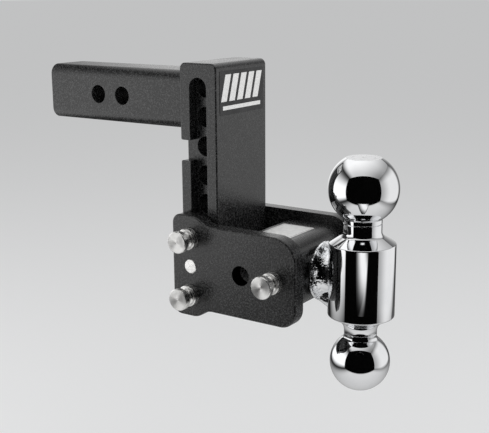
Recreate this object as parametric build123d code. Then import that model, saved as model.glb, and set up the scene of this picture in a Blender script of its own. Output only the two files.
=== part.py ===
from build123d import *
import os

# Adjustable ball mount for a 2 inch trailer hitch receiver, in millimetres.
# The origin is the centre of the receiver pin bore nearer the vehicle.
# +X points back to the trailer, +Y to the vehicle's left side, +Z up.

# --- receiver shank: a solid square bar, broadly rounded along its edges ---
SHANK_SIZE = 50.8
SHANK_CORNER_R = 9.4
SHANK_END_BREAK = 1.2
FREE_END_X = -60.3
SECOND_BORE_X = 28.8
PIN_BORE_R = 8.33
SHANK_WELD_LEG = 3.0

# --- drop column: a flat bar with a row of cross bores and a blind slot on each side ---
COLUMN_X = 124.6
COLUMN_THICK = 38.1
COLUMN_WIDE = 76.2
COLUMN_CORNER_R = 5.5
COLUMN_EDGE_R = 1.2
STATION_PITCH = 25.4
STATIONS = 8
STATION_BORE_R = 8.7
LOWER_PIN_Z = -165.1
COLUMN_OVERHANG_LOW = 18.2
COLUMN_OVERHANG_TOP = 21.0
SLOT_WIDE = 17.8
SLOT_DEEP = 10.5
NOTCH_RISE = 124.0
NOTCH_HIGH = 17.9
NOTCH_CORNER_R = 2.5

# --- side plates, measured from the column's axis and from the guide stubs' height ---
PLATE_OUTER_Y = 52.8
PLATE_THICK = 12.0
PLATE_REACH = 106.3
PLATE_HALF_HIGH = 37.8
LOBE_HALF_HIGH = 45.2
LOBE_END = 7.2
FAR_LOBE_END = -4.6
SHOULDER_RUN = 9.2
SHOULDER_R = 16.6
LOBE_CORNER_R = 8.0
REAR_TOP_R = 21.0
REAR_LOW_R = 15.0
PLATE_EDGE_R = 1.5
SPARE_BORE_OUT = 52.3
BALL_PIN_OUT = 84.7

# --- guide stubs, which ride in the column's slots ---
STUB_R = 6.35
STUB_BOSS_R = 7.6
STUB_PROUD = 0.4
STUB_FLOOR_GAP = 0.6

# --- housing between the plates ---
HOUSING_FRONT = 46.0
HOUSING_REAR = 98.5
HOUSING_HALF_HIGH = 29.6
HOUSING_CORNER_R = 15.0
HOUSING_WALL = 9.5
HOUSING_WELD_LEG = 4.0
SOCKET_FRONT = 66.0
SOCKET_OUTER_R = 19.5
SOCKET_BORE_R = 16.0

# --- two-ball unit ---
BALL_AXIS_OUT = 138.4
DRUM_R = 27.9
DRUM_RISE = 29.4
DRUM_DROP = 32.4
TOP_BALL_R = 29.37
TOP_BALL_RISE = 75.2
TOP_FLAT_R = 14.6
TOP_NECK_R = 16.0
LOW_BALL_R = 25.4
LOW_BALL_DROP = 73.6
LOW_FLAT_R = 8.0
LOW_NECK_R = 13.8
RIM_BREAK_R = 1.2
TOP_SHOULDER_RISE = 7.4
TOP_SHOULDER_R = 5.0
TOP_ROOT_R = 0.5
LOW_SHOULDER_DROP = 7.4
LOW_SHOULDER_R = 11.0
LOW_ROOT_R = 3.0
BALL_COLLAR = 4.0
SEAM_BREAK = 0.45
POST_R = 10.0
POST_LONG = 22.0
POST_GAP = 0.15
STEM_R = 15.85
STEM_FRONT = 64.5
FLANGE_FRONT = 101.5
FLANGE_R = 25.6
FLANGE_THICK = 3.6
THROAT_R = 19.5
THROAT_END_R = 22.4
THROAT_SUNK = 12.0
WEB_FRONT_DROP = 24.8
WEB_REAR_DROP = 31.0
WEB_SUNK = 4.0
WEB_HALF_WIDE = 12.0
WEB_EDGE_R = 6.0
SPIGOT_R = 12.0
SPIGOT_END = 130.0

# --- pull pins, 5/8 inch, with turned knobs ---
PIN_R = 7.87
PIN_TIP_Y = 64.0
PIN_TIP_BREAK = 1.5
COLLAR_R = 9.3
COLLAR_LONG = 6.5
WAIST_R = 6.3
KNOB_R = 9.525
KNOB_OUT = 19.0
KNOB_LONG = 5.5
TURNED_BREAK = 0.6
RING_SECTION_R = 1.5
RING_Y = 57.2
RING_GROOVE_R = 6.5
RING_GROOVE_WIDE = 3.2

# --- labels ---
LABEL_THICK = 0.25
COLUMN_LABEL = (66.0, 37.0)
COLUMN_LABEL_RISE = 173.5
HEAD_LABEL = (31.0, 41.0)
HEAD_LABEL_OUT = 65.6

# --- worked out from the sizes above ---
STUB_Z = LOWER_PIN_Z + STATION_PITCH
UPPER_PIN_Z = LOWER_PIN_Z + 2 * STATION_PITCH
TOP_STATION_Z = LOWER_PIN_Z + (STATIONS - 1) * STATION_PITCH
COLUMN_FACE_X = COLUMN_X - COLUMN_THICK / 2
COLUMN_REAR_X = COLUMN_X + COLUMN_THICK / 2
PLATE_INNER_Y = PLATE_OUTER_Y - PLATE_THICK
BALL_X = COLUMN_X + BALL_AXIS_OUT
BALL_PIN_X = COLUMN_X + BALL_PIN_OUT
HOUSING_TOP_Z = STUB_Z + HOUSING_HALF_HIGH


def cross_cylinder(radius, x, z, y_low, y_high):
    """A cylinder along Y between two Y values."""
    middle = (y_low + y_high) / 2
    return Pos(x, middle, z) * Rot(90, 0, 0) * Cylinder(radius, y_high - y_low)


def long_cylinder(radius, x_low, x_high, z):
    """A cylinder along X between two X values."""
    return Pos((x_low + x_high) / 2, 0, z) * Rot(0, 90, 0) * Cylinder(radius, x_high - x_low)


def rounded_square(half, radius):
    """A square with its four corners rounded, for the shank's section and its weld."""
    return RectangleRounded(2 * half, 2 * half, radius)


def receiver_shank():
    section = rounded_square(SHANK_SIZE / 2, SHANK_CORNER_R)
    bar = extrude(Plane.YZ.offset(FREE_END_X) * section, amount=COLUMN_FACE_X - FREE_END_X)
    bar = fillet(bar.faces().sort_by(Axis.X)[0].edges(), SHANK_END_BREAK)
    for x in (0, SECOND_BORE_X):
        bar -= cross_cylinder(PIN_BORE_R, x, 0, -SHANK_SIZE, SHANK_SIZE)
    return bar


def shank_weld():
    """A smooth fillet weld all round the shank where it meets the column."""
    half = SHANK_SIZE / 2
    small = Plane.YZ.offset(COLUMN_FACE_X - SHANK_WELD_LEG) * rounded_square(half, SHANK_CORNER_R)
    large = Plane.YZ.offset(COLUMN_FACE_X) * rounded_square(
        half + SHANK_WELD_LEG, SHANK_CORNER_R + SHANK_WELD_LEG
    )
    bead = loft([small.face(), large.face()])
    core = extrude(Plane.YZ.offset(0) * rounded_square(half, SHANK_CORNER_R), amount=COLUMN_X)
    return bead - core


def side_slot():
    """The blind slot in the column's near side, as the solid to cut away."""
    length = TOP_STATION_Z - LOWER_PIN_Z
    floor = Plane.XZ.offset(COLUMN_WIDE / 2 - SLOT_DEEP)
    middle = Pos(COLUMN_X, (TOP_STATION_Z + LOWER_PIN_Z) / 2)
    return extrude(floor * middle * SlotCenterToCenter(length, SLOT_WIDE, 90), amount=SLOT_DEEP + 1)


def entry_notch():
    """The gap through the near slot's wall on the vehicle side, with its mouth's corners rounded."""
    low_x = COLUMN_FACE_X
    top, low = LOWER_PIN_Z + NOTCH_RISE + NOTCH_HIGH / 2, LOWER_PIN_Z + NOTCH_RISE - NOTCH_HIGH / 2
    r = NOTCH_CORNER_R
    outline = Polyline((low_x + r, low), (COLUMN_X, low), (COLUMN_X, top), (low_x + r, top))
    outline += RadiusArc((low_x + r, top), (low_x, top + r), r)
    outline += Polyline((low_x, top + r), (low_x - r, top + r), (low_x - r, low - r), (low_x, low - r))
    outline += RadiusArc((low_x, low - r), (low_x + r, low), r)
    floor = Plane.XZ.offset(COLUMN_WIDE / 2 - SLOT_DEEP)
    return extrude(floor * make_face(outline), amount=SLOT_DEEP + 1)


def column():
    low, top = LOWER_PIN_Z - COLUMN_OVERHANG_LOW, TOP_STATION_Z + COLUMN_OVERHANG_TOP
    bar = Pos(COLUMN_X, 0, (low + top) / 2) * Box(COLUMN_THICK, COLUMN_WIDE, top - low)
    bar = fillet(bar.edges().filter_by(Axis.Y), COLUMN_CORNER_R)
    for side in (0, -1):
        bar = fillet(bar.faces().sort_by(Axis.Y)[side].edges(), COLUMN_EDGE_R)
    for cut in (side_slot(), entry_notch()):
        bar -= cut
        bar -= mirror(cut, Plane.XZ)
    for station in range(STATIONS):
        z = LOWER_PIN_Z + station * STATION_PITCH
        bar -= cross_cylinder(STATION_BORE_R, COLUMN_X, z, -COLUMN_WIDE, COLUMN_WIDE)
    return bar


def plate_outline(lobe_end):
    """A plate's outline about the stubs: a taller lobe at the column, curved shoulders, a round rear."""
    front, rear = -COLUMN_THICK / 2, PLATE_REACH
    shoulder_end = lobe_end + SHOULDER_RUN
    corners = [
        (front, LOBE_HALF_HIGH, LOBE_CORNER_R),
        (lobe_end, LOBE_HALF_HIGH, SHOULDER_R),
        (shoulder_end, PLATE_HALF_HIGH, SHOULDER_R),
        (rear, PLATE_HALF_HIGH, REAR_TOP_R),
        (rear, -PLATE_HALF_HIGH, REAR_LOW_R),
        (shoulder_end, -PLATE_HALF_HIGH, SHOULDER_R),
        (lobe_end, -LOBE_HALF_HIGH, SHOULDER_R),
        (front, -LOBE_HALF_HIGH, LOBE_CORNER_R),
    ]
    points = [(x, z) for x, z, _ in corners]
    radii = [r for _, _, r in corners]
    return make_face(FilletPolyline(*points, radius=radii, close=True))


def side_plate(lobe_end):
    """A side plate in the near one's place, with its bores and its outer edges rounded."""
    inner = Plane((COLUMN_X, -PLATE_INNER_Y, STUB_Z), x_dir=(1, 0, 0), z_dir=(0, -1, 0))
    plate = extrude(inner * plate_outline(lobe_end), amount=PLATE_THICK)
    outer_face = plate.faces().sort_by(Axis.Y)[0]
    plate = fillet(outer_face.edges(), PLATE_EDGE_R)
    bores = [(0, LOWER_PIN_Z), (0, UPPER_PIN_Z), (SPARE_BORE_OUT, STUB_Z), (BALL_PIN_OUT, STUB_Z)]
    for out, z in bores:
        plate -= cross_cylinder(PIN_BORE_R, COLUMN_X + out, z, -2 * PLATE_OUTER_Y, 0)
    return plate - cross_cylinder(STUB_R, COLUMN_X, STUB_Z, -2 * PLATE_OUTER_Y, 0)


def near_guide_stub():
    """A stub fixed in the plate, with a boss that runs in the column's slot."""
    floor_y = -(COLUMN_WIDE / 2 - SLOT_DEEP + STUB_FLOOR_GAP)
    tail = cross_cylinder(STUB_R, COLUMN_X, STUB_Z, -PLATE_OUTER_Y - STUB_PROUD, -PLATE_INNER_Y)
    tail = chamfer(tail.faces().sort_by(Axis.Y)[0].edges(), TURNED_BREAK)
    boss = cross_cylinder(STUB_BOSS_R, COLUMN_X, STUB_Z, -PLATE_INNER_Y, floor_y)
    return tail + boss


def housing_block(front, rear, half_high, corner_r):
    """A block as wide as the gap between the plates, rounded at its two rear corners."""
    profile = Rectangle(rear - front, 2 * half_high)
    profile = fillet(profile.vertices().group_by(Axis.X)[-1], corner_r)
    start = Plane((COLUMN_X, -PLATE_INNER_Y, STUB_Z), x_dir=(1, 0, 0), z_dir=(0, -1, 0))
    return extrude(start * Pos((front + rear) / 2, 0) * profile, amount=-2 * PLATE_INNER_Y)


def housing_wrap():
    """A thick strip bent round the ball socket: top, rear and bottom, open towards the column."""
    wall = HOUSING_WALL
    wrap = housing_block(HOUSING_FRONT, HOUSING_REAR, HOUSING_HALF_HIGH, HOUSING_CORNER_R)
    wrap -= housing_block(
        HOUSING_FRONT - 1, HOUSING_REAR - wall, HOUSING_HALF_HIGH - wall, HOUSING_CORNER_R - wall
    )
    wrap -= cross_cylinder(PIN_BORE_R, BALL_PIN_X, STUB_Z, -PLATE_OUTER_Y, PLATE_OUTER_Y)
    rear_x = COLUMN_X + HOUSING_REAR
    return wrap - long_cylinder(SOCKET_OUTER_R, rear_x - 2 * wall, rear_x + wall, STUB_Z)


def housing_welds():
    """Four straight fillet welds inside the housing, where the strip meets the plates."""
    leg = HOUSING_WELD_LEG
    inner_half = HOUSING_HALF_HIGH - HOUSING_WALL
    start = Plane.YZ.offset(COLUMN_X + HOUSING_FRONT + 1)
    length = HOUSING_REAR - HOUSING_FRONT - HOUSING_CORNER_R - 2
    beads = []
    for side in (-1, 1):
        for level in (-1, 1):
            y, z = side * PLATE_INNER_Y, STUB_Z + level * inner_half
            section = Polyline((y, z), (y - side * leg, z), (y, z - level * leg), close=True)
            beads.append(extrude(start * make_face(section), amount=length))
    return Compound(children=beads)


def stem_socket():
    """The tube that takes the two-ball unit's stem, welded into the housing's rear wall."""
    front, rear = COLUMN_X + SOCKET_FRONT, COLUMN_X + HOUSING_REAR
    tube = long_cylinder(SOCKET_OUTER_R, front, rear, STUB_Z)
    tube -= long_cylinder(SOCKET_BORE_R, front - 1, rear + 1, STUB_Z)
    return tube - cross_cylinder(PIN_BORE_R, BALL_PIN_X, STUB_Z, -PLATE_OUTER_Y, PLATE_OUTER_Y)


def stem_web():
    """The cast web below the throat, from the flange down towards the drum's lower edge."""
    front, rear = FLANGE_FRONT + 1, BALL_AXIS_OUT - DRUM_R + WEB_SUNK
    side = Polyline((front, 0), (front, -WEB_FRONT_DROP), (rear, -WEB_REAR_DROP), (rear, 0), close=True)
    web = extrude(Plane.XZ * make_face(side), amount=WEB_HALF_WIDE, both=True)
    edges = web.faces().sort_by(Axis.Z)[0].edges().sort_by(Axis.Y)
    return fillet([edges[0], edges[-1]], WEB_EDGE_R)


def ball_stem():
    """The horizontal stem: pinned end, flange, and a throat and web that run into the drum."""
    drum_front = BALL_AXIS_OUT - DRUM_R
    flange_rear = FLANGE_FRONT + FLANGE_THICK
    throat_start = (flange_rear - 1, FLANGE_R)
    throat_middle = ((flange_rear + drum_front) / 2 + 2, THROAT_R)
    throat_end = (drum_front + THROAT_SUNK, THROAT_END_R)
    outline = Polyline(
        (throat_end[0], 0),
        (STEM_FRONT, 0),
        (STEM_FRONT, STEM_R - TURNED_BREAK),
        (STEM_FRONT + TURNED_BREAK, STEM_R),
        (FLANGE_FRONT, STEM_R),
        (FLANGE_FRONT, FLANGE_R - 1),
        (FLANGE_FRONT + 1, FLANGE_R),
        throat_start,
    )
    outline += ThreePointArc(throat_start, throat_middle, throat_end)
    outline += Line(throat_end, (throat_end[0], 0))
    turned = Pos(COLUMN_X, 0, STUB_Z) * (revolve(make_face(outline), Axis.X) + stem_web())
    turned -= Pos(BALL_X, 0, STUB_Z) * Cylinder(DRUM_R, 4 * DRUM_R)
    turned += long_cylinder(SPIGOT_R, BALL_X - DRUM_R - 1, COLUMN_X + SPIGOT_END, STUB_Z)
    return turned - cross_cylinder(PIN_BORE_R, BALL_PIN_X, STUB_Z, -PLATE_OUTER_Y, PLATE_OUTER_Y)


def neck_seams():
    """Heights of the two seams, where each ball's collar sits on its neck."""
    upper = TOP_BALL_RISE - (TOP_BALL_R**2 - TOP_NECK_R**2) ** 0.5 - BALL_COLLAR
    lower = -LOW_BALL_DROP + (LOW_BALL_R**2 - LOW_NECK_R**2) ** 0.5 + BALL_COLLAR
    return upper, lower


def ball_drum():
    """The upright drum: sloping shoulders, a neck at each end and a post inside each ball."""
    upper, lower = neck_seams()
    r = DRUM_R
    corners = [
        (POST_R, lower - POST_LONG, 0.5),
        (POST_R, lower, 0.1),
        (LOW_NECK_R - SEAM_BREAK, lower, 0.1),
        (LOW_NECK_R, lower + SEAM_BREAK, 0.1),
        (LOW_NECK_R, -DRUM_DROP - LOW_SHOULDER_DROP, LOW_SHOULDER_R),
        (r, -DRUM_DROP, RIM_BREAK_R),
        (r, DRUM_RISE, RIM_BREAK_R),
        (TOP_NECK_R, DRUM_RISE + TOP_SHOULDER_RISE, TOP_SHOULDER_R),
        (TOP_NECK_R, upper - SEAM_BREAK, 0.1),
        (TOP_NECK_R - SEAM_BREAK, upper, 0.1),
        (POST_R, upper, 0.1),
        (POST_R, upper + POST_LONG, 0.5),
    ]
    first, last = (0, corners[0][1]), (0, corners[-1][1])
    points = [first] + [(x, y) for x, y, _ in corners] + [last]
    outline = FilletPolyline(*points, radius=[c[2] for c in corners])
    outline += Line(last, first)
    turned = revolve(Plane.XZ * make_face(outline), Axis.Z)
    turned = Pos(BALL_X, 0, STUB_Z) * turned
    return turned - long_cylinder(SPIGOT_R, BALL_X - 2 * DRUM_R, COLUMN_X + SPIGOT_END, STUB_Z)


def seated_ball(radius, neck_r, flat_r, root_r):
    """A ball about the origin: cut flat on top, with a collar below, bored for the neck's post."""
    flat_z = (radius**2 - flat_r**2) ** 0.5
    root_z = (radius**2 - neck_r**2) ** 0.5
    ball = Sphere(radius) - Pos(0, 0, flat_z + radius) * Box(2 * radius, 2 * radius, 2 * radius)
    ball -= Pos(0, 0, -root_z - radius) * Box(2 * radius, 2 * radius, 2 * radius)
    ball += Pos(0, 0, -root_z - BALL_COLLAR / 2) * Cylinder(neck_r, BALL_COLLAR)
    root = ball.edges().filter_by(GeomType.CIRCLE).sort_by(Axis.Z)[1]
    ball = fillet(root, root_r)
    ball = chamfer(ball.faces().sort_by(Axis.Z)[0].edges(), SEAM_BREAK)
    depth = POST_LONG + POST_GAP
    return ball - Pos(0, 0, -root_z - BALL_COLLAR + depth / 2) * Cylinder(POST_R + POST_GAP, depth)


def top_ball():
    ball = seated_ball(TOP_BALL_R, TOP_NECK_R, TOP_FLAT_R, TOP_ROOT_R)
    return Pos(BALL_X, 0, STUB_Z + TOP_BALL_RISE) * ball


def bottom_ball():
    ball = Rot(180, 0, 0) * seated_ball(LOW_BALL_R, LOW_NECK_R, LOW_FLAT_R, LOW_ROOT_R)
    return Pos(BALL_X, 0, STUB_Z - LOW_BALL_DROP) * ball


def pull_pin(x, z):
    """A one-piece pin: knob, waist and collar outside the near plate, shaft through to the far side."""
    seat, b = -PLATE_OUTER_Y, TURNED_BREAK
    face, knob_back = seat - KNOB_OUT, seat - KNOB_OUT + KNOB_LONG
    collar_front = seat - COLLAR_LONG
    groove = RING_Y - RING_GROOVE_WIDE / 2, RING_Y + RING_GROOVE_WIDE / 2
    outline = Polyline(
        (0, face),
        (KNOB_R - b, face),
        (KNOB_R, face + b),
        (KNOB_R, knob_back - b),
        (KNOB_R - b, knob_back),
        (WAIST_R + 1, knob_back + 0.4),
        (WAIST_R, knob_back + 1.4),
        (WAIST_R, collar_front - 1.4),
        (WAIST_R + 1, collar_front - 0.4),
        (COLLAR_R - b, collar_front),
        (COLLAR_R, collar_front + b),
        (COLLAR_R, seat - b),
        (COLLAR_R - b, seat),
        (PIN_R, seat),
        (PIN_R, groove[0]),
        (RING_GROOVE_R, groove[0]),
        (RING_GROOVE_R, groove[1]),
        (PIN_R, groove[1]),
        (PIN_R, PIN_TIP_Y - PIN_TIP_BREAK),
        (PIN_R - PIN_TIP_BREAK, PIN_TIP_Y),
        (0, PIN_TIP_Y),
        close=True,
    )
    return Pos(x, 0, z) * revolve(make_face(outline), Axis.Y)


def pin_ring(x, z):
    """The rubber ring that keeps a pin from working out, in its groove beyond the far plate."""
    major = RING_GROOVE_R + 0.05 + RING_SECTION_R
    return Pos(x, RING_Y, z) * Rot(90, 0, 0) * Torus(major, RING_SECTION_R)


def column_label():
    wide, high = COLUMN_LABEL
    face = fillet(Rectangle(wide, high).vertices(), 1.5)
    place = Plane.YZ.offset(COLUMN_REAR_X) * Pos(0, LOWER_PIN_Z + COLUMN_LABEL_RISE)
    return extrude(place * face, amount=LABEL_THICK)


def head_label():
    long, wide = HEAD_LABEL
    face = fillet(Rectangle(long, wide).vertices(), 1.0)
    place = Plane.XY.offset(HOUSING_TOP_Z) * Pos(COLUMN_X + HEAD_LABEL_OUT, 0)
    return extrude(place * face, amount=LABEL_THICK)


pin_places = {
    "upper_column_pin": (COLUMN_X, UPPER_PIN_Z),
    "lower_column_pin": (COLUMN_X, LOWER_PIN_Z),
    "ball_pin": (BALL_PIN_X, STUB_Z),
}
nodes = {
    "receiver_shank": receiver_shank(),
    "shank_weld": shank_weld(),
    "column": column(),
    "column_label": column_label(),
    "near_side_plate": side_plate(LOBE_END),
    "far_side_plate": mirror(side_plate(FAR_LOBE_END), Plane.XZ),
    "near_guide_stub": near_guide_stub(),
    "far_guide_stub": mirror(near_guide_stub(), Plane.XZ),
    "housing_wrap": housing_wrap(),
    "housing_welds": housing_welds(),
    "stem_socket": stem_socket(),
    "head_label": head_label(),
    "ball_stem": ball_stem(),
    "ball_drum": ball_drum(),
    "top_ball": top_ball(),
    "bottom_ball": bottom_ball(),
}
for name, (x, z) in pin_places.items():
    nodes[name] = pull_pin(x, z)
    nodes[name + "_ring"] = pin_ring(x, z)

os.makedirs("parts", exist_ok=True)
for name, shape in nodes.items():
    export_step(shape, f"parts/{name}.step")
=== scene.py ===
import math

import bpy
from mathutils import Matrix, Vector


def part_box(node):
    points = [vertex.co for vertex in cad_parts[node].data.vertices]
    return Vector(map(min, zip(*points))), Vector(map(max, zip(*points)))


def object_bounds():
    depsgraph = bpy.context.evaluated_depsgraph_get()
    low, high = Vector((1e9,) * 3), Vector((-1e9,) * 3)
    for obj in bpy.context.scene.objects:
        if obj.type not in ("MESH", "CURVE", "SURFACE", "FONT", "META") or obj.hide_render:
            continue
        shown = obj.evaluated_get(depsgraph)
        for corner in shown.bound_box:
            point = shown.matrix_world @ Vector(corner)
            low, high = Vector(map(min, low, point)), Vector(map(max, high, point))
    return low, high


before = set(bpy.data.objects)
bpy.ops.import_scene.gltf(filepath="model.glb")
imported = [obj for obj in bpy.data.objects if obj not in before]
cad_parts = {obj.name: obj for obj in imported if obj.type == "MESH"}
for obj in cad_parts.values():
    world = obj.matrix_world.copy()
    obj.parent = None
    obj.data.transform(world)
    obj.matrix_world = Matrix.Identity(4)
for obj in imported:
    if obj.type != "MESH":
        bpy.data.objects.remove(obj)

CAD_BOX = [list(corner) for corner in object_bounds()]
MM = 0.001

# Places read off the frame
COLUMN_LOW, COLUMN_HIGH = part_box("column")
PLATE_LOW, PLATE_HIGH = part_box("near_side_plate")
DRUM_LOW, DRUM_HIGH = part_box("ball_drum")
LABEL_LOW, LABEL_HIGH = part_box("column_label")
FOIL_LOW, FOIL_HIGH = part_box("head_label")
TOP_FLAT_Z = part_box("top_ball")[1][2]
LOW_FLAT_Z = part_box("bottom_ball")[0][2]
BALL_AXIS = ((DRUM_LOW[0] + DRUM_HIGH[0]) / 2, 0.0)
STUB_Z = (PLATE_LOW[2] + PLATE_HIGH[2]) / 2
SPARE_BORE_OUT = 52.3 * MM
SPARE_BORE_X = (COLUMN_LOW[0] + COLUMN_HIGH[0]) / 2 + SPARE_BORE_OUT

# Powder coat. Painted shade in the spare bore: its wall is painted black without shine, out to a
# radius just over the bore's own
COAT_SHEEN = 0.58
COAT_DEEP, COAT_PLAIN = (0.003, 0.003, 0.0032), (0.006, 0.0061, 0.0063)
# Pale specks: painted highlight that stands in for the sandy coat's sparkle
# Paler edges: wear, and a painted highlight along the edges as well
COAT_SPARKLE_HIGHLIGHT, COAT_EDGE_WEAR_AND_HIGHLIGHT = (0.042, 0.0425, 0.043), (0.075, 0.075, 0.075)
BORE_PAINTED_SHADE, BORE_PAINTED_SHADE_R = (0.001, 0.001, 0.001), 8.6 * MM

# Chrome, steel and rubber
CHROME_BRIGHT, CHROME_HAZY = (0.86, 0.865, 0.875), (0.80, 0.81, 0.825)
CAST_HAZY = (0.78, 0.79, 0.805)
FLAT_REACH, FLAT_RING_R = 0.15 * MM, 9.6 * MM
STEEL_BRIGHT, STEEL_STAINED = (0.95, 0.945, 0.93), (0.82, 0.815, 0.80)
KNOB_END_BLUR, STUB_END_BLUR = 0.18, 0.0
RUBBER_BLACK, RUBBER_DUSTY = (0.012, 0.012, 0.013), (0.035, 0.034, 0.033)

# The column's label. Its bars and its rule are placed by their height from the label's middle
FILM_BLACK, FILM_SPECK = (0.010, 0.010, 0.011), (0.028, 0.028, 0.029)
INK_WHITE, INK_WORN = (0.88, 0.88, 0.87), (0.74, 0.74, 0.73)
BARS_RISE, BARS_HALF_HIGH, BARS_HALF_WIDE = 4.2 * MM, 11.3 * MM, 29.0 * MM
BAR_PITCH, BAR_WIDE, BAR_LEAN = 11.8 * MM, 8.2 * MM, 0.30
RULE_DROP, RULE_HALF_HIGH, RULE_HALF_WIDE = 12.6 * MM, 1.7 * MM, 28.5 * MM

# The housing's label
FOIL_BRIGHT, FOIL_DULL = (0.80, 0.80, 0.79), (0.66, 0.66, 0.66)
BORDER_GREY, BORDER_IN = (0.10, 0.10, 0.10), 1.6 * MM

# Camera
CAMERA_AT = Vector((608.14, -678.34, 93.84)) * MM
CAMERA_YAW, CAMERA_PITCH, CAMERA_ROLL = (math.radians(a) for a in (34.29, -13.49, -0.40))
CAMERA_LENS, CAMERA_SENSOR = 69.86, 36.0

# Floor, sky and soft boxes
PALE, CARD_BLACK = (0.86, 0.865, 0.87), (0.002, 0.002, 0.002)
FLOOR_HALF, FLOOR_DROP = 40.0, 0.21
SKY_COLOUR, SKY_STRENGTH = (1.0, 1.0, 1.0), 0.62
LIT_POINT = Vector((0.12, 0.0, -0.08))

# Light tent, in metres from the balls' axis: out towards the camera, to its right, and height
TENT_NEAR, TENT_BACK, TENT_HALF = 0.40, -0.85, 0.595
TENT_LOW, TENT_TOP = -0.44, 0.41
# A panel's brightness, and how it falls towards its left, right, lower and upper border: the
# share of the panel that the fall takes, and the share of the light that is left at the border
TENT_LIGHT = {
    "tent_left": (1.25, ((0.02, 0.30), (0.25, 0.20), (0.21, 0.02), (0.52, 0.04))),
    "tent_right": (0.90, ((0.35, 0.50), (0.25, 0.30), (0.10, 0.40), (0.30, 0.30))),
    "tent_top": (1.15, ((0.22, 0.01), (0.60, 0.35), (0.45, 0.60), (0.05, 0.50))),
    "tent_bottom": (0.75, ((0.32, 0.04), (0.20, 0.50), (0.05, 0.60), (0.90, 0.10))),
    "tent_back": (1.20, ((0.30, 0.30), (0.85, 0.10), (0.40, 0.20), (0.10, 0.50))),
    "drum_glint": (1.05, ((0.42, 0.05), (0.42, 0.05), (0.65, 0.06), (0.02, 0.80))),
    "drum_glint_back": (0.0, ((0.10, 1.00),) * 4),
}
# The borders on a panel's unit square: axis, place and way in
BORDERS = ((0, 0.0, 1.0), (0, 1.0, -1.0), (1, 0.0, 1.0), (1, 1.0, -1.0))
UNIT_SQUARE = ((0, 0), (1, 0), (1, 1), (0, 1))
# The glint's lower and upper end: out, half its width, and height
GLINT_NEAR = (0.043, 0.006, STUB_Z - 30.3 * MM)
GLINT_FAR = (0.100, 0.032, STUB_Z + 10.7 * MM)
GLINT_BACK_GAP = 1.0 * MM


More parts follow.
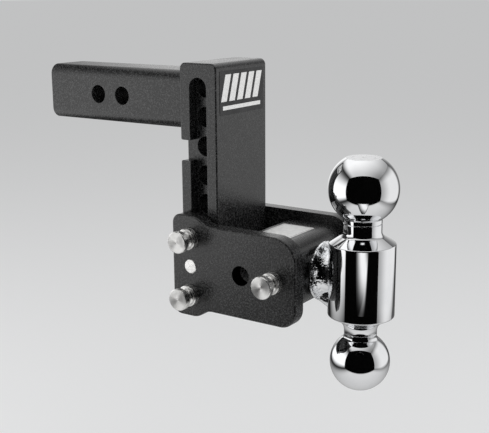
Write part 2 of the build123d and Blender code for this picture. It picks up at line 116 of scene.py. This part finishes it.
# ---------------------------------------------------------------- node helpers
class Shader:
    """A new material's node tree, with short calls for the nodes that every finish here uses."""

    def __init__(self, name):
        self.material = bpy.data.materials.new(name)
        self.material.use_nodes = True
        self.tree = self.material.node_tree
        self.tree.nodes.clear()
        self.surface = self.node("ShaderNodeBsdfPrincipled")
        output = self.node("ShaderNodeOutputMaterial")
        self.link(self.surface.outputs["BSDF"], output.inputs["Surface"])
        self.place = self.node("ShaderNodeTexCoord").outputs["Object"]
        self.x, self.y, self.z = self.parts(self.place)

    def node(self, kind, **settings):
        made = self.tree.nodes.new(kind)
        for key, value in settings.items():
            setattr(made, key, value)
        return made

    def link(self, start, end):
        self.tree.links.new(start, end)

    def put(self, value, socket):
        """Links an output, or sets a plain number or colour."""
        if hasattr(value, "is_linked"):
            self.link(value, socket)
        else:
            socket.default_value = value

    def set(self, **values):
        """Sets or links the shader's own sockets, named with _ for a space."""
        for key, value in values.items():
            self.put(value, self.surface.inputs[key.replace("_", " ")])

    def math(self, operation, a, b=0.0):
        made = self.node("ShaderNodeMath", operation=operation)
        self.put(a, made.inputs[0])
        self.put(b, made.inputs[1])
        return made.outputs[0]

    def plus(self, a, b):
        return self.math("ADD", a, b)

    def less(self, a, b):
        """a less b."""
        return self.math("SUBTRACT", a, b)

    def times(self, a, b):
        return self.math("MULTIPLY", a, b)

    def under(self, value, limit):
        """1 where value is under limit, else 0."""
        return self.math("LESS_THAN", value, limit)

    def off(self, value, middle):
        """How far value is from middle, to either side."""
        return self.math("ABSOLUTE", self.less(value, middle))

    def within(self, value, middle, reach):
        """1 where value is less than reach away from middle, else 0."""
        return self.under(self.off(value, middle), reach)

    def length(self, a, b):
        """The length of a step that goes a one way and b across."""
        return self.math("SQRT", self.plus(self.times(a, a), self.times(b, b)))

    def radius_about(self, x, z):
        """Distance from the line along Y through x and z."""
        return self.length(self.less(self.x, x), self.less(self.z, z))

    def parts(self, vector):
        """A vector's x, y and z."""
        made = self.node("ShaderNodeSeparateXYZ")
        self.link(vector, made.inputs[0])
        return made.outputs

    def vector(self, x, y, z):
        made = self.node("ShaderNodeCombineXYZ")
        for socket, value in zip(made.inputs, (x, y, z)):
            self.put(value, socket)
        return made.outputs[0]

    def noise(self, scale, detail, roughness, at=None, distortion=0.0):
        """Noise with about as many features to a metre as scale says."""
        made = self.node("ShaderNodeTexNoise")
        self.link(at or self.place, made.inputs["Vector"])
        made.inputs["Scale"].default_value = scale
        made.inputs["Detail"].default_value = detail
        made.inputs["Roughness"].default_value = roughness
        made.inputs["Distortion"].default_value = distortion
        return made.outputs["Fac"]

    def ramp(self, value, low, high, start=0.0, end=1.0):
        """A number that goes smoothly from start to end as value goes from low to high."""
        made = self.node("ShaderNodeMapRange", interpolation_type="SMOOTHSTEP")
        for socket, number in zip(made.inputs, (value, low, high, start, end)):
            self.put(number, socket)
        return made.outputs[0]

    def blend(self, factor, a, b):
        """A colour between a and b."""
        made = self.node("ShaderNodeMix", data_type="RGBA")
        self.put(factor, made.inputs[0])
        for socket, colour in zip(made.inputs[6:8], (a, b)):
            self.put(colour if hasattr(colour, "is_linked") else (*colour, 1.0), socket)
        return made.outputs[2]

    def true_normal(self):
        return self.node("ShaderNodeNewGeometry").outputs["True Normal"]

    def rounded(self, radius):
        """The surface's normal with its edges softened over radius."""
        made = self.node("ShaderNodeBevel", samples=6)
        made.inputs["Radius"].default_value = radius
        return made.outputs[0]

    def edges(self, radius, low, high):
        """1 along edges and 0 on open faces, from how far the softened normal turns."""
        turn = self.node("ShaderNodeVectorMath", operation="DOT_PRODUCT")
        self.link(self.rounded(radius), turn.inputs[0])
        self.link(self.true_normal(), turn.inputs[1])
        return self.ramp(turn.outputs["Value"], high, low)

    def bump(self, height, distance, strength, normal=None):
        made = self.node("ShaderNodeBump")
        made.inputs["Strength"].default_value = strength
        made.inputs["Distance"].default_value = distance
        self.link(height, made.inputs["Height"])
        if normal is not None:
            self.link(normal, made.inputs["Normal"])
        return made.outputs[0]


# ---------------------------------------------------------------- finishes
def powder_coat(name):
    """Satin black powder coat: a sandy texture with pale specks that are painted sparkle highlight,
    a little uneven in gloss, and paler on edges from wear and from a painted edge highlight;
    painted shade makes the spare bore's wall black without shine.
    """
    s = Shader(name)
    grain = s.noise(680.0, 3.0, 0.7)
    fine = s.noise(1900.0, 2.0, 0.6)
    clouds = s.noise(22.0, 3.0, 0.55)
    wear_and_edge_highlight = s.times(s.edges(0.9 * MM, 0.80, 0.98), s.noise(160.0, 3.0, 0.6))
    # painted shade: inside the spare bore's radius the coat is black and has no shine
    bore_shade = s.under(s.radius_about(SPARE_BORE_X, STUB_Z), BORE_PAINTED_SHADE_R)
    colour = s.blend(s.ramp(clouds, 0.35, 0.65), COAT_DEEP, COAT_PLAIN)
    # pale specks: painted sparkle highlight on the grain
    colour = s.blend(s.ramp(grain, 0.46, 0.64), colour, COAT_SPARKLE_HIGHLIGHT)
    # paler edges: patchy wear together with a painted edge highlight
    colour = s.blend(s.ramp(wear_and_edge_highlight, 0.25, 0.75), colour, COAT_EDGE_WEAR_AND_HIGHLIGHT)
    gloss = s.plus(s.ramp(clouds, 0.3, 0.7, 0.23, 0.28), s.ramp(grain, 0.3, 0.7, -0.05, 0.06))
    height = s.plus(grain, s.times(fine, 0.4))
    s.set(
        Base_Color=s.blend(bore_shade, colour, BORE_PAINTED_SHADE),
        Roughness=gloss,
        # the shine drops to nothing in the painted shade of the spare bore
        Specular_IOR_Level=s.ramp(bore_shade, 0.0, 1.0, COAT_SHEEN, 0.0),
        Normal=s.bump(height, 0.16 * MM, 0.8, s.rounded(0.7 * MM)),
    )
    return s.material


def orange_peel(s):
    """The normal of bright chrome, which is very slightly wavy."""
    return s.bump(s.noise(150.0, 2.0, 0.4), 0.012 * MM, 0.35, s.rounded(0.3 * MM))


def chrome(name):
    """Bright chrome plate, with handling haze and faint scratches."""
    s = Shader(name)
    haze = s.noise(38.0, 4.0, 0.6)
    drawn_out = s.vector(s.times(s.x, 0.15), s.y, s.times(s.z, 6.0))
    scratch = s.ramp(s.noise(900.0, 2.0, 0.5, at=drawn_out), 0.62, 0.75, 0.0, 0.03)
    s.set(
        Base_Color=s.blend(s.ramp(haze, 0.3, 0.8), CHROME_BRIGHT, CHROME_HAZY),
        Metallic=1.0,
        Roughness=s.plus(s.ramp(haze, 0.45, 0.75, 0.02, 0.07), scratch),
        Normal=orange_peel(s),
    )
    return s.material


def cast_chrome(name):
    """Chrome over the rough cast stem: lumps and ripples that break up what it mirrors."""
    s = Shader(name)
    lumps = s.noise(150.0, 2.0, 0.5, distortion=0.6)
    ripples = s.noise(520.0, 2.0, 0.5)
    haze = s.noise(60.0, 4.0, 0.6)
    height = s.plus(s.times(lumps, 2.2), s.times(ripples, 0.30))
    s.set(
        Base_Color=s.blend(s.ramp(haze, 0.3, 0.8), CHROME_BRIGHT, CAST_HAZY),
        Metallic=1.0,
        Roughness=s.ramp(haze, 0.4, 0.75, 0.03, 0.08),
        Normal=s.bump(height, 0.80 * MM, 0.7, s.rounded(0.6 * MM)),
    )
    return s.material


def ball_chrome(name, flat_z):
    """The chrome of a ball whose cut flat carries a turned ring and a centre mark."""
    s = Shader(name)
    radius = s.length(s.less(s.x, BALL_AXIS[0]), s.y)
    on_flat = s.within(s.z, flat_z, FLAT_REACH)
    ring = s.ramp(s.off(radius, FLAT_RING_R), 0.2 * MM, 0.7 * MM)
    centre = s.ramp(radius, 0.8 * MM, 2.2 * MM)
    turned = s.noise(1.0, 2.0, 0.6, at=s.vector(s.times(radius, 2600.0), 0.0, 0.0))
    cut = s.times(on_flat, s.plus(s.times(ring, centre), s.times(turned, 0.10)))
    haze = s.noise(38.0, 4.0, 0.6)
    s.set(
        Base_Color=s.blend(s.ramp(haze, 0.3, 0.8), CHROME_BRIGHT, CHROME_HAZY),
        Metallic=1.0,
        Roughness=s.plus(s.ramp(haze, 0.45, 0.75, 0.03, 0.075), s.times(on_flat, 0.16)),
        Normal=s.bump(cut, 0.22 * MM, 0.8, orange_peel(s)),
    )
    return s.material


def turned_stainless(name, x, z, end_blur):
    """Turned stainless steel: rings cut about the line along Y through x and z.

    end_blur is how much rougher the ends are than the sides.
    """
    s = Shader(name)
    radius = s.radius_about(x, z)
    along = s.vector(radius, s.y, 0.0)
    rings = s.noise(2300.0, 3.0, 0.65, at=along)
    broad = s.noise(500.0, 2.0, 0.5, at=along)
    stain = s.noise(170.0, 3.0, 0.6)
    centre = s.ramp(radius, 0.4 * MM, 1.3 * MM)
    height = s.plus(s.plus(rings, s.times(broad, 0.8)), s.times(centre, 2.0))
    on_end = s.ramp(s.math("ABSOLUTE", s.parts(s.true_normal())[1]), 0.85, 0.97)
    gloss = s.plus(s.ramp(rings, 0.3, 0.7, 0.15, 0.27), s.ramp(stain, 0.4, 0.75, 0.0, 0.07))
    s.set(
        Base_Color=s.blend(s.ramp(stain, 0.3, 0.75), STEEL_BRIGHT, STEEL_STAINED),
        Metallic=1.0,
        Roughness=s.plus(gloss, s.times(on_end, end_blur)),
        Anisotropic=0.97,
        Anisotropic_Rotation=0.25,
        Tangent=s.node("ShaderNodeTangent", direction_type="RADIAL", axis="Y").outputs[0],
        Normal=s.bump(height, 0.05 * MM, 0.7, s.rounded(0.35 * MM)),
    )
    return s.material


def rubber(name):
    """Matt black rubber with a little dust."""
    s = Shader(name)
    dust = s.noise(420.0, 4.0, 0.6)
    s.set(
        Base_Color=s.blend(s.ramp(dust, 0.35, 0.75), RUBBER_BLACK, RUBBER_DUSTY),
        Roughness=s.ramp(dust, 0.3, 0.7, 0.55, 0.75),
        Normal=s.bump(dust, 0.06 * MM, 0.5),
    )
    return s.material


def label_mark(s):
    """1 on the slanted bars and on the rule below them, else 0."""
    up = s.less(s.z, (LABEL_LOW[2] + LABEL_HIGH[2]) / 2)
    lean = s.plus(s.y, s.times(s.less(up, BARS_RISE), -BAR_LEAN))
    block = s.times(s.within(lean, 0.0, BARS_HALF_WIDE), s.within(up, BARS_RISE, BARS_HALF_HIGH))
    bars = s.under(s.math("PINGPONG", lean, BAR_PITCH / 2), BAR_WIDE / 2)
    rule = s.times(s.within(up, -RULE_DROP, RULE_HALF_HIGH), s.within(s.y, 0.0, RULE_HALF_WIDE))
    return s.math("MAXIMUM", s.times(block, bars), rule)


def printed_film(name):
    """The column's label: black film with a plain mark of slanted bars over a thin rule."""
    s = Shader(name)
    speck = s.noise(900.0, 3.0, 0.6)
    film = s.blend(s.ramp(speck, 0.4, 0.75), FILM_BLACK, FILM_SPECK)
    white = s.blend(s.ramp(speck, 0.35, 0.7), INK_WHITE, INK_WORN)
    s.set(
        Base_Color=s.blend(label_mark(s), film, white),
        Roughness=s.ramp(s.noise(60.0, 3.0, 0.6), 0.3, 0.7, 0.36, 0.48),
        Normal=s.bump(speck, 0.03 * MM, 0.4, s.rounded(0.3 * MM)),
    )
    return s.material


def satin_foil(name):
    """The housing's label: satin foil, left blank but for a thin darker border."""
    s = Shader(name)
    in_x, in_y = (
        s.less((high - low) / 2, s.off(value, (low + high) / 2))
        for value, low, high in zip((s.x, s.y), FOIL_LOW, FOIL_HIGH)
    )
    border = s.ramp(s.off(s.math("MINIMUM", in_x, in_y), BORDER_IN), 0.15 * MM, 0.4 * MM, 1.0, 0.0)
    crinkle = s.noise(240.0, 4.0, 0.6)
    brushed = s.noise(700.0, 2.0, 0.6, at=s.vector(s.times(s.x, 0.1), s.y, s.z))
    tone = s.blend(s.ramp(crinkle, 0.3, 0.75), FOIL_BRIGHT, FOIL_DULL)
    s.set(
        Base_Color=s.blend(s.times(border, 0.75), tone, BORDER_GREY),
        Metallic=0.75,
        Roughness=s.ramp(brushed, 0.3, 0.7, 0.38, 0.52),
        Normal=s.bump(s.plus(crinkle, s.times(brushed, 0.5)), 0.05 * MM, 0.6),
    )
    return s.material


def dress(material, *nodes):
    """Gives the CAD nodes' objects a material in every slot."""
    for node in nodes:
        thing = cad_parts[node]
        if not thing.material_slots:
            thing.data.materials.append(material)
        for holder in thing.material_slots:
            holder.material = material


def dress_turned(end_blur, *nodes):
    """Gives each node its own turned steel, with the rings about its own middle."""
    for node in nodes:
        low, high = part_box(node)
        middle_x, middle_z = (low[0] + high[0]) / 2, (low[2] + high[2]) / 2
        dress(turned_stainless(f"{node}_steel", middle_x, middle_z, end_blur), node)


dress(
    powder_coat("satin_black_coat"),
    "receiver_shank",
    "shank_weld",
    "column",
    "near_side_plate",
    "far_side_plate",
    "housing_wrap",
    "housing_welds",
    "stem_socket",
)
dress(cast_chrome("cast_chrome"), "ball_stem")
dress(chrome("chrome_plate"), "ball_drum")
dress(ball_chrome("top_ball_chrome", TOP_FLAT_Z), "top_ball")
dress(ball_chrome("bottom_ball_chrome", LOW_FLAT_Z), "bottom_ball")
dress_turned(KNOB_END_BLUR, "upper_column_pin", "lower_column_pin", "ball_pin")
dress_turned(STUB_END_BLUR, "near_guide_stub", "far_guide_stub")
dress(rubber("black_rubber"), "upper_column_pin_ring", "lower_column_pin_ring", "ball_pin_ring")
dress(printed_film("printed_film"), "column_label")
dress(satin_foil("satin_foil"), "head_label")


# ---------------------------------------------------------------- stage
def on_camera_side(out, side, z):
    """A point out towards the camera and side to its right, measured level from the balls' axis."""
    away = Vector((CAMERA_AT.x - BALL_AXIS[0], CAMERA_AT.y - BALL_AXIS[1], 0.0)).normalized()
    right = Vector((-away.y, away.x, 0.0))
    return Vector((BALL_AXIS[0], BALL_AXIS[1], z)) + away * out + right * side


def matt(name, colour):
    """A stage material: one matt colour without a shine."""
    material = bpy.data.materials.new(name)
    material.use_nodes = True
    surface = material.node_tree.nodes["Principled BSDF"]
    surface.inputs["Base Color"].default_value = (*colour, 1.0)
    surface.inputs["Roughness"].default_value = 0.9
    surface.inputs["Specular IOR Level"].default_value = 0.0
    return material


def sheet(name, corners, material, unseen=()):
    """A flat stage piece. unseen names the rays that pass it by."""
    mesh = bpy.data.meshes.new(name)
    mesh.from_pydata([tuple(corner) for corner in corners], [], [(0, 1, 2, 3)])
    spread = mesh.uv_layers.new(name="spread")
    for loop, place in zip(spread.data, UNIT_SQUARE):
        loop.uv = place
    mesh.materials.append(material)
    made = bpy.data.objects.new(name, mesh)
    bpy.context.scene.collection.objects.link(made)
    for ray in unseen:
        setattr(made, f"visible_{ray}", False)


def tent_light(name, brightness, falls):
    """Light that falls off towards the panel's left, right, lower and upper borders."""
    material = bpy.data.materials.new(name)
    material.use_nodes = True
    tree = material.node_tree
    tree.nodes.clear()
    spread = tree.nodes.new("ShaderNodeSeparateXYZ")
    tree.links.new(tree.nodes.new("ShaderNodeTexCoord").outputs["UV"], spread.inputs[0])
    level = tree.nodes.new("ShaderNodeValue").outputs[0]
    level.default_value = brightness
    for (axis, border, inward), (width, share) in zip(BORDERS, falls):
        fall = tree.nodes.new("ShaderNodeMapRange")
        fall.interpolation_type = "SMOOTHSTEP"
        tree.links.new(spread.outputs[axis], fall.inputs["Value"])
        fall.inputs["From Min"].default_value = border
        fall.inputs["From Max"].default_value = border + inward * width
        fall.inputs["To Min"].default_value = share
        dimmed = tree.nodes.new("ShaderNodeMath")
        dimmed.operation = "MULTIPLY"
        tree.links.new(fall.outputs[0], dimmed.inputs[0])
        tree.links.new(level, dimmed.inputs[1])
        level = dimmed.outputs[0]
    glow = tree.nodes.new("ShaderNodeEmission")
    tree.links.new(level, glow.inputs["Strength"])
    output = tree.nodes.new("ShaderNodeOutputMaterial")
    tree.links.new(glow.outputs[0], output.inputs["Surface"])
    return material


def tent_panel(name, corners):
    """A glowing panel that only mirrors see. Corners go round from the lower left."""
    places = [on_camera_side(*corner) for corner in corners]
    light = tent_light(name, *TENT_LIGHT[name])
    sheet(name, places, light, unseen=("camera", "diffuse", "transmission", "shadow"))


def upright(first, last):
    """The corners of a side of the tent that stands on the line from first to last."""
    return [(*first, TENT_LOW), (*last, TENT_LOW), (*last, TENT_TOP), (*first, TENT_TOP)]


def light_tent():
    """Five glowing walls about the object, and the dark opening that the camera looks through."""
    near_left, near_right = (TENT_NEAR, -TENT_HALF), (TENT_NEAR, TENT_HALF)
    back_left, back_right = (TENT_BACK, -TENT_HALF), (TENT_BACK, TENT_HALF)
    plan = (near_left, near_right, back_right, back_left)
    opening = [on_camera_side(*corner) for corner in upright(near_right, near_left)]
    black = matt("black_card", CARD_BLACK)
    sheet("camera_opening", opening, black, unseen=("camera", "shadow", "diffuse"))
    tent_panel("tent_left", upright(near_left, back_left))
    tent_panel("tent_right", upright(near_right, back_right))
    tent_panel("tent_top", [(*place, TENT_TOP) for place in plan])
    tent_panel("tent_bottom", [(*place, TENT_LOW) for place in plan])
    tent_panel("tent_back", upright(back_left, back_right))


def drum_glint():
    """A narrow slanting light close to the drum, which mirrors it down its middle."""
    (near, near_half, near_z), (far, far_half, far_z) = GLINT_NEAR, GLINT_FAR
    corners = [
        (near, -near_half, near_z),
        (near, near_half, near_z),
        (far, far_half, far_z),
        (far, -far_half, far_z),
    ]
    tent_panel("drum_glint", corners)
    gap = GLINT_BACK_GAP
    tent_panel("drum_glint_back", [(out + gap, side, z - gap) for out, side, z in corners])


def floor():
    half, z = FLOOR_HALF, CAD_BOX[0][2] - FLOOR_DROP
    corners = [(-half, -half, z), (half, -half, z), (half, half, z), (-half, half, z)]
    sheet("studio_floor", corners, matt("pale_floor", PALE))


def soft_box(name, at, wide, high, watts):
    """A soft light that faces the object, and which neither the camera nor a mirror sees."""
    lamp = bpy.data.lights.new(name, "AREA")
    lamp.shape, lamp.size, lamp.size_y = "RECTANGLE", wide, high
    lamp.energy = watts
    made = bpy.data.objects.new(name, lamp)
    made.location = at
    made.rotation_mode = "QUATERNION"
    made.rotation_quaternion = (LIT_POINT - Vector(at)).to_track_quat("-Z", "Y")
    made.visible_camera = False
    made.visible_glossy = False
    bpy.context.scene.collection.objects.link(made)


def camera():
    yaw, pitch, roll = CAMERA_YAW, CAMERA_PITCH, CAMERA_ROLL
    flat = math.cos(pitch)
    ahead = Vector((-math.sin(yaw) * flat, math.cos(yaw) * flat, math.sin(pitch)))
    level = Vector((math.cos(yaw), math.sin(yaw), 0.0))
    above = level.cross(ahead)
    right = level * math.cos(roll) + above * math.sin(roll)
    up = right.cross(ahead)
    lens = bpy.data.cameras.new("photo_camera")
    lens.sensor_width, lens.lens = CAMERA_SENSOR, CAMERA_LENS
    made = bpy.data.objects.new("photo_camera", lens)
    turn = Matrix((right, up, -ahead)).transposed()
    made.matrix_world = Matrix.Translation(CAMERA_AT) @ turn.to_4x4()
    bpy.context.scene.collection.objects.link(made)
    bpy.context.scene.camera = made


def sky():
    """Even light from all around."""
    made = bpy.data.worlds.new("pale_tent")
    made.use_nodes = True
    background = made.node_tree.nodes["Background"]
    background.inputs["Color"].default_value = (*SKY_COLOUR, 1.0)
    background.inputs["Strength"].default_value = SKY_STRENGTH
    bpy.context.scene.world = made


camera()
floor()
sky()
light_tent()
drum_glint()
soft_box("key_softbox", at=(-1.1, -1.3, 0.25), wide=0.9, high=0.9, watts=16.0)
soft_box("rim_softbox", at=(1.5, 0.6, 0.7), wide=0.8, high=1.0, watts=8.0)
bpy.context.scene.view_settings.view_transform = "Standard"
